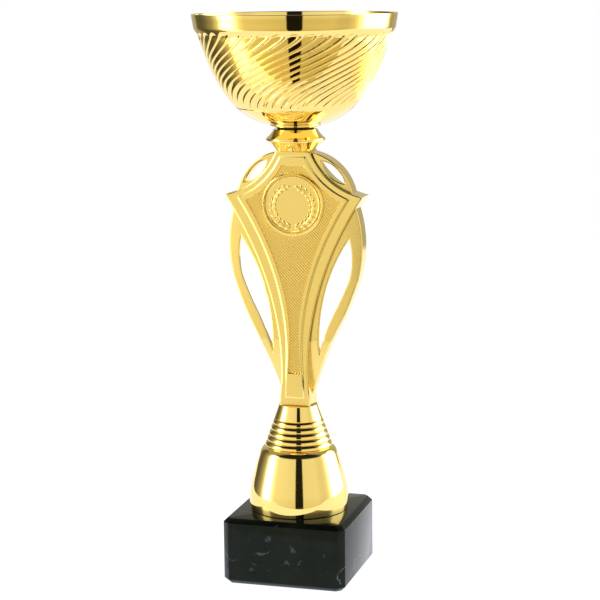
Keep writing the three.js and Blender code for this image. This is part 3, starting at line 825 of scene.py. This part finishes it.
def star(radius, drop, half, control_x, share, waist, foot):
    """Flat top, sweep to the side tip, bowed side down to the waist, straight to the foot; sizes in mm.

    The sweep has its radius, starts this drop below the top and ends at the half width. The bowed side's
    control point is at control_x, this share of the way up from the foot to the tip.
    """
    upper = sweep_at(radius * MM, TOP - drop * MM)
    corner = on_sweep(radius * MM, half * MM)
    control = (control_x * MM, FOOT + (corner[1] - FOOT) * share)
    waist = (waist[0] * MM, FOOT + waist[1] * MM)
    foot = (foot[0] * MM, FOOT + foot[1] * MM)
    sweep = arc(SWEEP_CENTRE, radius * MM, upper, corner, 24)
    side = bow(corner, control, waist, 40)
    return mirrored(sweep + side[1:] + [foot])


PANEL = star(32.5, 0, 31.5, 5, 0.57, (6.2, 12.5), (7.1, 0))
FRAME = star(34.8, 2, 26, 1.5, 0.6, (4.2, 17), (4.7, 3.4))
FIELD = star(38, 6.6, 21.2, 0.1, 0.61, (1.7, 26), (2.4, 15.4))


def at_depth(outline, y):
    return [(x, y, z) for x, z in outline]


def slope(outline, width, low, high):
    """Rings of a softly rounded slope from an outline inwards, as (outline, depth) pairs.

    The first and the last keep the faces on both sides of it flat, so the slope's shading stays its own.
    """
    steps = ((-0.2, 0), (0, 0), (0.25, 0.12), (0.75, 0.88), (1, 1), (1.2, 1))
    return [(inset(outline, width * across), low + (high - low) * up) for across, up in steps]


def close(bm, ring):
    bmesh.ops.contextual_create(bm, geom=ring_edges(bm, ring))


def star_panel():
    """The star-shaped front: flat border, raised frame, sunk field; a skirt behind it and an open back."""
    steps = [(PANEL, LOOP_FRONT + LOOP_PLATE)]
    steps += slope(PANEL, EDGE, BORDER_FRONT + EDGE_DROP, BORDER_FRONT)[1:]
    steps += slope(FRAME, FRAME_SLOPE, BORDER_FRONT, FRAME_FRONT)
    steps += slope(inset(FIELD, -FIELD_SLOPE), FIELD_SLOPE, FRAME_FRONT, FIELD_FLOOR)
    bm = bmesh.new()
    back_ring = start_ring(bm, at_depth(PANEL, BACK))
    ring = back_ring
    for outline, depth in steps:
        ring = grow(bm, ring, at_depth(outline, depth))
    close(bm, ring)
    inner = inset(PANEL, SKIRT)
    ring = grow(bm, back_ring, at_depth(inner, BACK))
    ring = grow(bm, ring, at_depth(inner, FRONT + PLATE))
    close(bm, ring)
    bmesh.ops.recalc_face_normals(bm, faces=bm.faces)
    return bm


def loop_curve():
    """Outer edge of the upper loop and of the lower loop, on the right-hand side."""
    centre = (3.6 * MM, TOP - 23.4 * MM)
    radius = 23.4 * MM
    end_x = 26.6 * MM
    end = (end_x, centre[1] + math.sqrt(radius ** 2 - (end_x - centre[0]) ** 2))
    begin = (8.2 * MM, centre[1] + math.sqrt(radius ** 2 - (4.6 * MM) ** 2))
    upper = arc(centre, radius, begin, end, 30)
    belly_radius = 58.5 * MM
    belly = (30.65 * MM - belly_radius, TOP - 42 * MM)

    def on_belly(z):
        return (belly[0] + math.sqrt(belly_radius ** 2 - (z - belly[1]) ** 2), z)

    bulge = arc(belly, belly_radius, on_belly(TOP - 25.2 * MM), on_belly(TOP - 57 * MM), 24)
    tail = through([
        bulge[-1], (23.3 * MM, TOP - 71.1 * MM), (16.4 * MM, FOOT + 29.2 * MM),
        (10.9 * MM, FOOT + 16.2 * MM), (7.1 * MM, LOOP_END),
    ], 10)
    return upper, bulge + tail[1:]


def slot_curve():
    """The long slot in the lower loop."""
    radius = 37.5 * MM
    belly = (25.95 * MM - radius, TOP - 47.3 * MM)

    def on_belly(z):
        return (belly[0] + math.sqrt(radius ** 2 - (z - belly[1]) ** 2), z)

    top = on_belly(TOP - 38.4 * MM)
    bottom = (10.8 * MM, FOOT + 24 * MM)
    bulge = arc(belly, radius, top, on_belly(TOP - 56.5 * MM), 16)
    tail = through([
        bulge[-1], (20.5 * MM, TOP - 66.5 * MM), (16 * MM, FOOT + 38.4 * MM),
        (12.3 * MM, FOOT + 29.2 * MM), bottom,
    ], 8)
    back = bow(bottom, (9.8 * MM, TOP - 60.2 * MM), top, 30)
    return bulge + tail[1:] + back[1:-1]


def lens_curve():
    """The lens-shaped slot in the upper loop."""
    upper = (12.8 * MM, TOP - 4.3 * MM)
    lower = (23 * MM, TOP - 14.2 * MM)
    outer = arc((11 * MM, TOP - 16.5 * MM), 12.25 * MM, upper, lower, 16)
    inner = arc((25.1 * MM, TOP - 1.55 * MM), 12.8 * MM, lower, upper, 16)
    return outer + inner[1:-1]


def pierced_shell(free_edge, hidden_edge, slot):
    """A thin plate with a slot and a skirt round its free edge; its other edge runs inside the panel."""
    outline = free_edge + hidden_edge
    kept = len(free_edge)
    inner = inset(outline, SKIRT)[:kept] + inset(outline, 0.3 * MM)[kept:]
    bm = bmesh.new()
    back_ring = start_ring(bm, at_depth(outline, LOOP_BACK))
    face_ring = back_ring
    for edge, depth in slope(outline, EDGE, LOOP_FRONT + EDGE_DROP, LOOP_FRONT)[1:]:
        face_ring = grow(bm, face_ring, at_depth(edge, depth))
    inside = grow(bm, back_ring, at_depth(inner, LOOP_BACK))
    inside = grow(bm, inside, at_depth(inner, LOOP_FRONT + LOOP_PLATE))
    slot_back = start_ring(bm, at_depth(slot, LOOP_FRONT + LOOP_PLATE))
    slot_face = slot_back
    for edge, depth in slope(slot, -EDGE, LOOP_FRONT + EDGE_DROP, LOOP_FRONT)[1:]:
        slot_face = grow(bm, slot_face, at_depth(edge, depth))
    for rings in ((face_ring, slot_face), (inside, slot_back)):
        bmesh.ops.triangle_fill(
            bm, edges=ring_edges(bm, rings[0]) + ring_edges(bm, rings[1]), use_beauty=True,
        )
    return bm


BEND = FOOT + 30 * MM             # below this the lower loops' faces lean back
LEAN = 4 * MM                     # by this much at the loops' ends
ROUND_FROM = 13 * MM              # beyond this, the loops' faces curve back towards their outer edges
ROUNDING = 0.0045 / MM            # by this much times the distance squared
ROUND_CUTS = range(14, 31, 2)     # in mm, where those faces are cut so that they can curve


def cut_across(bm, place, normal):
    """Cuts each face that a plane crosses in two."""
    bmesh.ops.bisect_plane(
        bm, geom=bm.verts[:] + bm.edges[:] + bm.faces[:], plane_co=place, plane_no=normal, dist=0.001 * MM,
    )


def lean_back(bm):
    """Leans the lower end of a loop's plate back; the skirt's rear edge stays where it is."""
    cut_across(bm, (0, 0, BEND), (0, 0, 1))
    for vert in bm.verts:
        if vert.co.z < BEND and vert.co.y < SKIRT_REAR:
            vert.co.y += LEAN * (BEND - vert.co.z) / (BEND - LOOP_END)


def round_faces(bm):
    """Curves the loops' faces back a little towards their outer edges."""
    for vert in bm.verts:
        if vert.co.y < SKIRT_REAR:
            vert.co.y += ROUNDING * max(vert.co.x - ROUND_FROM, 0) ** 2


def side_loops():
    """The upper and the lower loop on the right, and their mirror images on the left."""
    upper, lower = loop_curve()
    hidden_sweep = arc(
        SWEEP_CENTRE, HIDDEN_SWEEP, on_sweep(HIDDEN_SWEEP, 26.4 * MM), on_sweep(HIDDEN_SWEEP, 9.3 * MM), 20,
    )
    side = [p for p in inset(PANEL, 1.0 * MM) if p[0] > 0 and p[1] < TOP - 25 * MM]
    hidden_side = [p for p in reversed(side) if p[1] > LOOP_END + 0.5 * MM]
    upper_loop = pierced_shell(upper, hidden_sweep, lens_curve())
    lower_loop = pierced_shell(lower, hidden_side, slot_curve())
    lean_back(lower_loop)
    right = joined(upper_loop, lower_loop)
    bmesh.ops.triangulate(right, faces=right.faces)
    for x in ROUND_CUTS:
        cut_across(right, (x * MM, 0, 0), (1, 0, 0))
    round_faces(right)
    left = right.copy()
    bmesh.ops.scale(left, vec=(-1, 1, 1), verts=left.verts)
    both = joined(right, left)
    bmesh.ops.recalc_face_normals(both, faces=both.faces)
    return both


EMBLEM_LOW, EMBLEM_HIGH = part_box("emblem_disc")
EMBLEM_Z = (EMBLEM_LOW.z + EMBLEM_HIGH.z) / 2
EMBLEM_RADIUS = EMBLEM_HIGH.x
SEAT_RADIUS = 12.8 * MM
RIM_RADIUS = 14.15 * MM


def face_forwards(bm):
    """Turns a piece made about Z so that its top faces the front, at the emblem's centre."""
    bmesh.ops.rotate(bm, matrix=Matrix.Rotation(math.pi / 2, 3, "X"), verts=bm.verts)
    bmesh.ops.translate(bm, vec=(0, 0, EMBLEM_Z), verts=bm.verts)
    return bm


def emblem_rim():
    """The raised, rounded ring round the emblem's seat."""
    foot, front = -FIELD_FLOOR - 0.2 * MM, -FRONT
    wide, seat = RIM_RADIUS, SEAT_RADIUS
    outline = [
        (wide, foot), (wide, front - 0.7 * MM), (wide - 0.12 * MM, front - 0.42 * MM),
        (wide - 0.45 * MM, front - 0.16 * MM), (wide - 0.7 * MM, front), (wide - 0.9 * MM, front),
        (seat + 0.15 * MM, front - 0.1 * MM), (seat, front - 0.3 * MM), (seat, foot), (wide, foot),
    ]
    return face_forwards(spun(outline, SPIN_STEPS))


HATCH_PITCH = 1.0 * MM
HATCH_GROOVE = 0.12 * MM          # half the width of a groove
HATCH_RISE = 0.12 * MM
HATCH_MARGIN = 0.75 * MM          # diamonds may be centred this far outside the field's outline
HATCH_PROUD = 0.04 * MM           # how far their feet stand in front of the floor
HATCH_ROOT = 0.3 * MM             # and how deep they reach into the wall
HATCH_RAISED = 18 * MM            # the grid's centre is this far above the figure's


def inside_outline(x, z, outline):
    """Whether a point is inside a closed outline, by counting crossings."""
    inside = False
    for (x0, z0), (x1, z1) in zip(outline, outline[1:] + outline[:1]):
        if (z0 > z) != (z1 > z) and x < x0 + (z - z0) / (z1 - z0) * (x1 - x0):
            inside = not inside
    return inside


def hatching():
    """Small flat-topped diamonds between crossing grooves, over the sunk field round the emblem."""
    cells = int((TOP - FOOT) / HATCH_PITCH)
    bm = bmesh.new()
    bmesh.ops.create_grid(bm, x_segments=cells, y_segments=cells, size=cells * HATCH_PITCH / 2)
    turn = Matrix.Rotation(math.pi / 2, 3, "X") @ Matrix.Rotation(math.pi / 4, 3, "Z")
    bmesh.ops.rotate(bm, matrix=turn, verts=bm.verts)
    middle = (0, FIELD_FLOOR - HATCH_PROUD, (FOOT + TOP) / 2 + HATCH_RAISED)
    bmesh.ops.translate(bm, vec=middle, verts=bm.verts)
    reach = inset(FIELD, -HATCH_MARGIN)
    spare = []
    for face in bm.faces:
        x, _, z = face.calc_center_median()
        covered = math.hypot(x, z - EMBLEM_Z) < SEAT_RADIUS
        if covered or not inside_outline(x, z, reach):
            spare.append(face)
    bmesh.ops.delete(bm, geom=spare, context="FACES")
    backs = bmesh.ops.extrude_face_region(bm, geom=bm.faces[:])["geom"]
    behind = [item for item in backs if isinstance(item, bmesh.types.BMVert)]
    bmesh.ops.translate(bm, vec=(0, HATCH_ROOT, 0), verts=behind)
    bmesh.ops.recalc_face_normals(bm, faces=bm.faces)
    fronts = [f for f in bm.faces if f.normal.y < -0.9]
    bmesh.ops.inset_individual(
        bm, faces=fronts, thickness=HATCH_GROOVE, depth=HATCH_RISE, use_even_offset=True,
    )
    return bm


RIBS = 4
RIB_THICKNESS = 1.2 * MM
RIB_BACK = BACK - 2 * MM
FIGURE_CORE = 4.3 * MM            # outer radius of the core round the rod


def width_at(outline, z):
    """Half width of a symmetrical outline at a height."""
    widths = [
        abs(x0 + (z - z0) / (z1 - z0) * (x1 - x0))
        for (x0, z0), (x1, z1) in zip(outline, outline[1:]) if (z0 > z) != (z1 > z)
    ]
    return max(widths)


def back_stiffening():
    """Cross ribs and the core round the rod, inside the open back."""
    inner = inset(PANEL, SKIRT * 0.6)
    parts = []
    front = FRONT + PLATE - 0.3 * MM
    for i in range(1, RIBS + 1):
        z = FOOT + (TOP - FOOT) * i / (RIBS + 1)
        half = width_at(inner, z)
        rib = bmesh.new()
        bmesh.ops.create_cube(rib, size=1)
        bmesh.ops.scale(rib, vec=(2 * half, RIB_BACK - front, RIB_THICKNESS), verts=rib.verts)
        bmesh.ops.translate(rib, vec=(0, (RIB_BACK + front) / 2, z), verts=rib.verts)
        parts.append(rib)
    parts.append(spun(flat_ring(FIGURE_CORE, BORE, FOOT, TOP, 0.1 * MM), ROD_STEPS))
    return parts


def paint_sides(bm, steepest=0.93):
    """Gives the side faces the second material; the front and the back keep the first."""
    for face in bm.faces:
        if abs(face.normal.y) < steepest:
            face.material_index = 1
    return bm


RECESS_SPAN = (8.2 * MM, 26.5 * MM)     # how far from the middle the star's hollow curves reach


def paint_recess_shade(bm):
    """Gives the panel's walls in front of the upper loops the third material, a dark brown gold that paints
    the shade in these deep corners.
    """
    for face in bm.faces:
        x, y, _ = face.calc_center_median()
        upward = face.normal.z > 0.35 and abs(face.normal.y) < 0.1
        if upward and RECESS_SPAN[0] < abs(x) < RECESS_SPAN[1] and y < LOOP_FRONT + LOOP_PLATE:
            face.material_index = 2
    return bm


def figure():
    finishes = [SATIN_GOLD, EDGE_GOLD]
    panel = paint_recess_shade(paint_sides(star_panel()))
    body = joined(panel, paint_sides(side_loops()), *back_stiffening())
    piece("figure_moulding", body, finishes + [PAINTED_SHADE_GOLD], ["figure_shell"], 25)
    piece("figure_emblem_rim", paint_sides(emblem_rim(), 0.5), finishes, [], 25)
    piece("figure_hatching", hatching(), finishes, [], 5)


LEAF_LENGTH = 2.6 * MM
LEAF_WIDTH = 0.9 * MM
LEAF_RISE = 0.36 * MM
WREATH_DROP = 0.9 * MM            # the wreath's centre lies this far below the disc's
WREATH_RADIUS = 9.0 * MM
WREATH_START = math.radians(-84)
WREATH_END = math.radians(74)
WREATH_LEAVES = 10                # on each edge of a branch
LEAF_OFFSET = 0.95 * MM           # from the stem to a leaf's centre
STEM_RADIUS = 0.16 * MM


def leaf(place, heading, length):
    """A pointed, domed leaf lying on the disc, in the disc's own plane (made about Z)."""
    bm = bmesh.new()
    bmesh.ops.create_uvsphere(bm, u_segments=8, v_segments=6, radius=0.5)
    bmesh.ops.rotate(bm, matrix=Matrix.Rotation(math.pi / 2, 3, "Y"), verts=bm.verts)
    for vert in bm.verts:
        taper = (1 - abs(2 * vert.co.x) ** 1.5) ** 0.3 if abs(vert.co.x) < 0.5 else 0
        vert.co.y *= taper
        vert.co.z *= taper
    bmesh.ops.scale(bm, vec=(length, LEAF_WIDTH, 2 * LEAF_RISE), verts=bm.verts)
    bmesh.ops.rotate(bm, matrix=Matrix.Rotation(heading, 3, "Z"), verts=bm.verts)
    bmesh.ops.translate(bm, vec=place, verts=bm.verts)
    return bm


def branch(side, face):
    """One half of the wreath: a stem on an arc, with smaller leaves towards its tip along both edges."""
    start, end = WREATH_START, WREATH_END
    stem = bmesh.new()
    bmesh.ops.create_circle(stem, segments=6, radius=STEM_RADIUS)
    bmesh.ops.rotate(stem, matrix=Matrix.Rotation(math.pi / 2, 3, "X"), verts=stem.verts)
    bmesh.ops.translate(stem, vec=(WREATH_RADIUS, 0, face), verts=stem.verts)
    bmesh.ops.rotate(stem, matrix=Matrix.Rotation(start, 3, "Z"), verts=stem.verts)
    bmesh.ops.spin(
        stem, geom=stem.verts[:] + stem.edges[:], cent=(0, 0, 0), axis=(0, 0, 1), angle=end - start, steps=30,
    )
    parts = [stem]
    for i in range(WREATH_LEAVES):
        t = (i + 0.5) / WREATH_LEAVES
        angle = start + (end - start) * t
        size = LEAF_LENGTH * (1.08 - 0.3 * t)
        for edge, spread in ((1, -0.5), (-1, 0.42)):
            radius = WREATH_RADIUS + edge * LEAF_OFFSET
            place = Vector((radius * math.cos(angle), radius * math.sin(angle), face + 0.02 * MM))
            parts.append(leaf(place, angle + math.pi / 2 + spread, size))
    tip = Vector((WREATH_RADIUS * math.cos(end + 0.08), WREATH_RADIUS * math.sin(end + 0.08), face))
    parts.append(leaf(tip, end + math.pi / 2, LEAF_LENGTH * 0.75))
    whole = joined(*parts)
    bmesh.ops.scale(whole, vec=(side, 1, 1), verts=whole.verts)
    bmesh.ops.recalc_face_normals(whole, faces=whole.faces)
    return whole


def emblem():
    """Pressed disc with a raised edge and a laurel wreath."""
    back = -FIELD_FLOOR + 0.02 * MM
    front = -EMBLEM_LOW.y
    face = front - 0.3 * MM
    outline = [
        (0, back), (EMBLEM_RADIUS, back), (EMBLEM_RADIUS, front - 0.15 * MM),
        (EMBLEM_RADIUS - 0.12 * MM, front), (EMBLEM_RADIUS - 0.5 * MM, front),
        (EMBLEM_RADIUS - 0.8 * MM, face), (0, face),
    ]
    wreath = joined(branch(1, face), branch(-1, face))
    bmesh.ops.translate(wreath, vec=(0, -WREATH_DROP, 0), verts=wreath.verts)
    for leaf_face in wreath.faces:
        leaf_face.material_index = 1
    disc = joined(spun(outline, SPIN_STEPS), wreath)
    piece("emblem_disc_pressing", face_forwards(disc), [SATIN_GOLD, EDGE_GOLD], ["emblem_disc"],
          35)


figure()
emblem()

# These two hardly show, so they stay as the frame has them and only take a material.
for node, material in (("base_lock_washer", ZINC), ("emblem_tape", WHITE_FOAM)):
    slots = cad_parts[node].data.materials
    if slots:
        slots[0] = material
    else:
        slots.append(material)
